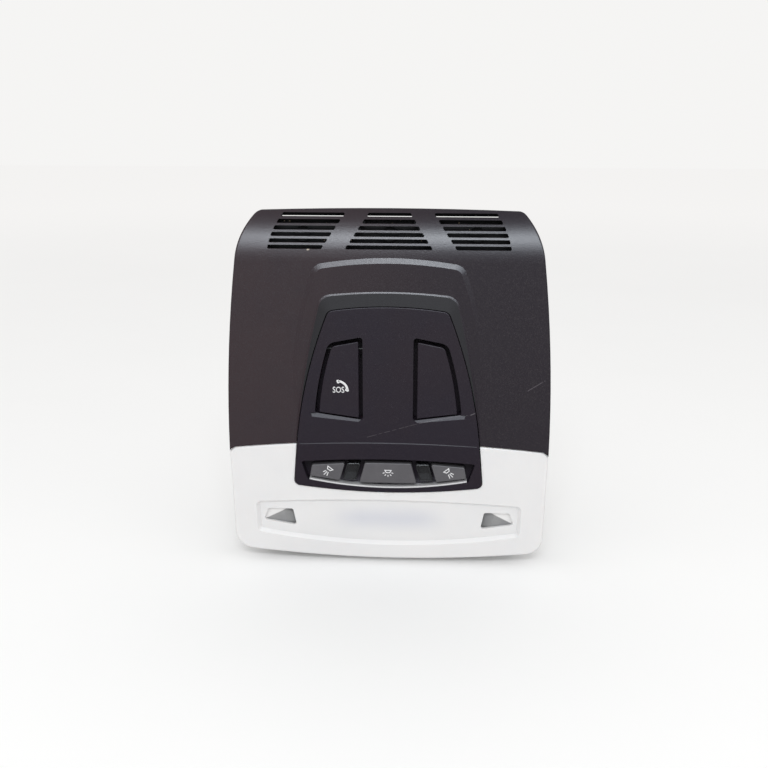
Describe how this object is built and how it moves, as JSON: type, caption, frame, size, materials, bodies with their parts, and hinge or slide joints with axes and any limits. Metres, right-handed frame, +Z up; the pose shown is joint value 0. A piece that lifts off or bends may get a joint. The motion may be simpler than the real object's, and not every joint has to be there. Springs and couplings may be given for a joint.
{
  "type": "car interior light",
  "caption": "Roof console for a car: dark trim with fan grilles and a raised switch panel, hinged emergency-call flap, light buttons and a white lens with reading-light pockets.",
  "frame": {"origin": "middle of the roof seat, the flat pad on the back of the rear housing", "axes": "+X to the right and +Z up towards the grilles as seen from the cabin, +Y back into the roof"},
  "size_m": [0.2032, 0.0495, 0.2301],
  "materials": {
    "trim_plastic": "fine-grained moulded charcoal plastic",
    "panel_plastic": "fine-grained moulded charcoal plastic",
    "button_plastic": "satin dark grey plastic",
    "sos_plastic": "satin red plastic",
    "window_plastic": "smoked clear plastic",
    "chrome_trim": "bright plated plastic",
    "lens_plastic": "white translucent plastic",
    "guide_plastic": "clear acrylic",
    "reflector_plastic": "grey satin plastic",
    "led_package": "white LED package",
    "board_laminate": "green solder mask",
    "switch_body": "black switch body",
    "connector_plastic": "black connector plastic",
    "housing_plastic": "black moulded plastic",
    "steel": "zinc-plated steel",
    "dark_steel": "blackened steel",
    "module_plastic": "black moulded plastic"
  },
  "bodies": {
    "console": {"trim_cover": "trim_plastic", "switch_panel": "panel_plastic", "sos_hinge_pin": "dark_steel", "sos_flap_spring": "dark_steel", "right_blank_cover": "panel_plastic", "left_ambient_window": "window_plastic", "right_ambient_window": "window_plastic", "chrome_strip": "chrome_trim", "main_lens": "lens_plastic", "light_guide": "guide_plastic", "left_reading_reflector": "reflector_plastic", "right_reading_reflector": "reflector_plastic", "reading_leds": "led_package", "courtesy_leds": "led_package", "circuit_board": "board_laminate", "key_switches": "switch_body", "connector_header": "connector_plastic", "rear_housing": "housing_plastic", "housing_screws": "steel", "board_screws": "steel", "spring_clips": "steel", "left_microphone": "module_plastic", "right_microphone": "module_plastic", "alarm_sensor": "module_plastic"},
    "flap": {"sos_flap": "panel_plastic"},
    "sos_key": {"sos_button": "sos_plastic"},
    "left_key": {"left_reading_button": "button_plastic"},
    "centre_key": {"centre_light_button": "button_plastic"},
    "right_key": {"right_reading_button": "button_plastic"}
  },
  "joints": [
    {"name": "flap_hinge", "type": "hinge", "parent": "console", "child": "flap", "pos_m": [-0.026, -0.03494, 0.022], "axis": [-1, 0, 0], "range_deg": [0, 75]},
    {"name": "sos_press", "type": "slide", "parent": "console", "child": "sos_key", "axis": [0, 1, 0], "range_m": [0, 0.0011], "stiffness_N_per_m": 2000, "springref_m": -0.0005},
    {"name": "left_press", "type": "slide", "parent": "console", "child": "left_key", "axis": [0, 1, 0], "range_m": [0, 0.001], "stiffness_N_per_m": 2000, "springref_m": -0.0005},
    {"name": "centre_press", "type": "slide", "parent": "console", "child": "centre_key", "axis": [0, 1, 0], "range_m": [0, 0.001], "stiffness_N_per_m": 2000, "springref_m": -0.0005},
    {"name": "right_press", "type": "slide", "parent": "console", "child": "right_key", "axis": [0, 1, 0], "range_m": [0, 0.001], "stiffness_N_per_m": 2000, "springref_m": -0.0005}
  ]
}
